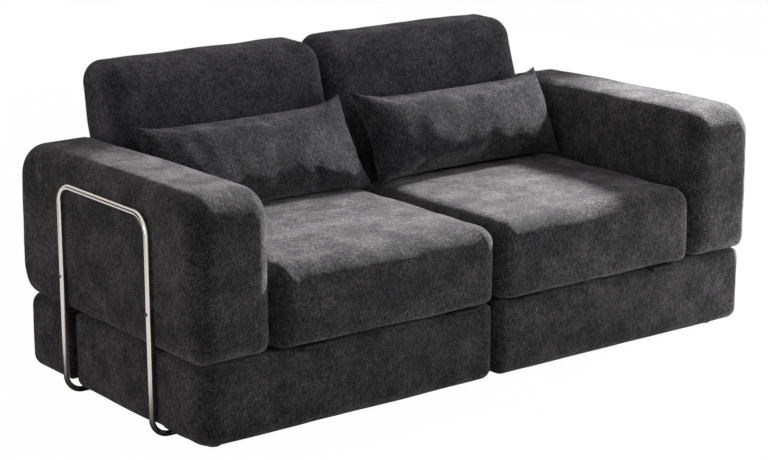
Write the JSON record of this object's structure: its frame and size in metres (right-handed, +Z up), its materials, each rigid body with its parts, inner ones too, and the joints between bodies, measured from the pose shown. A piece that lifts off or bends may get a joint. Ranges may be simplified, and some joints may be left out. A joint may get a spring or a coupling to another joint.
{
  "type": "folding sofa bed",
  "caption": "Two-module sofa bed in dark chenille: seats flip forward, backs lie flat, steel tube loops on the sides, two lumbar pillows.",
  "frame": {"origin": "on the floor, under the middle of the bounding box", "axes": "+X to the right of someone facing the sofa, +Y to the rear, +Z up"},
  "size_m": [1.944, 0.9749, 0.8301],
  "materials": {
    "chenille": "matte",
    "pillow_chenille": "matte",
    "foam": "matte",
    "fibre_fill": "matte",
    "slat_wood": "satin",
    "plywood": "matte",
    "frame_wood": "matte",
    "tube_steel": "satin",
    "black_screw": "satin",
    "black_steel": "matte",
    "zinc_steel": "satin",
    "glide_plastic": "matte"
  },
  "bodies": {
    "base": {"arm_cover_left": "chenille", "arm_cover_right": "chenille", "arm_foam_left": "foam", "arm_foam_right": "foam", "arm_frame_left": "frame_wood", "arm_frame_right": "frame_wood", "back_hinge_base_plates_left": "black_steel", "back_hinge_base_plates_right": "black_steel", "back_hinge_bolts_left": "zinc_steel", "back_hinge_bolts_right": "zinc_steel", "back_hinge_washers_left": "zinc_steel", "back_hinge_washers_right": "zinc_steel", "base_cover_left": "chenille", "base_cover_right": "chenille", "base_foam_left": "foam", "base_foam_right": "foam", "base_frame_left": "frame_wood", "base_frame_right": "frame_wood", "base_slats_left": "slat_wood", "base_slats_right": "slat_wood", "connector_plates": "black_steel", "glides_left": "glide_plastic", "glides_right": "glide_plastic", "rear_block_cover_left": "chenille", "rear_block_cover_right": "chenille", "rear_block_frame_left": "frame_wood", "rear_block_frame_right": "frame_wood", "seat_hinge_base_leaves_left": "black_steel", "seat_hinge_base_leaves_right": "black_steel", "seat_hinge_pins_left": "zinc_steel", "seat_hinge_pins_right": "zinc_steel", "side_tube_left": "tube_steel", "side_tube_right": "tube_steel", "tube_brackets_left": "black_steel", "tube_brackets_right": "black_steel", "tube_screws_left": "black_screw", "tube_screws_right": "black_screw"},
    "seat_left": {"seat_board_left": "plywood", "seat_cover_left": "chenille", "seat_foam_left": "foam", "seat_hinge_seat_leaves_left": "black_steel"},
    "seat_right": {"seat_board_right": "plywood", "seat_cover_right": "chenille", "seat_foam_right": "foam", "seat_hinge_seat_leaves_right": "black_steel"},
    "back_left": {"back_cover_left": "chenille", "back_foam_left": "foam", "back_frame_left": "frame_wood", "back_hinge_back_plates_left": "black_steel", "back_rest_pads_left": "glide_plastic"},
    "back_right": {"back_cover_right": "chenille", "back_foam_right": "foam", "back_frame_right": "frame_wood", "back_hinge_back_plates_right": "black_steel", "back_rest_pads_right": "glide_plastic"},
    "pillow_left": {"pillow_cover_left": "pillow_chenille", "pillow_fill_left": "fibre_fill"},
    "pillow_right": {"pillow_cover_right": "pillow_chenille", "pillow_fill_right": "fibre_fill"}
  },
  "joints": [
    {"name": "seat_left_fold", "type": "hinge", "parent": "base", "child": "seat_left", "pos_m": [-0.36, -0.481, 0.2285], "axis": [1, 0, 0], "range_deg": [0, 180]},
    {"name": "seat_right_fold", "type": "hinge", "parent": "base", "child": "seat_right", "pos_m": [0.36, -0.481, 0.2285], "axis": [1, 0, 0], "range_deg": [0, 180]},
    {"name": "back_left_fold", "type": "hinge", "parent": "base", "child": "back_left", "pos_m": [-0.36, 0.12213, 0.2285], "axis": [-1, 0, 0], "range_deg": [0, 71.9]},
    {"name": "back_right_fold", "type": "hinge", "parent": "base", "child": "back_right", "pos_m": [0.36, 0.12213, 0.2285], "axis": [-1, 0, 0], "range_deg": [0, 71.9]},
    {"name": "pillow_left_lift", "type": "slide", "parent": "seat_left", "child": "pillow_left", "axis": [0, 0, 1], "range_m": [0, 0.4]},
    {"name": "pillow_right_lift", "type": "slide", "parent": "seat_right", "child": "pillow_right", "axis": [0, 0, 1], "range_m": [0, 0.4]}
  ]
}
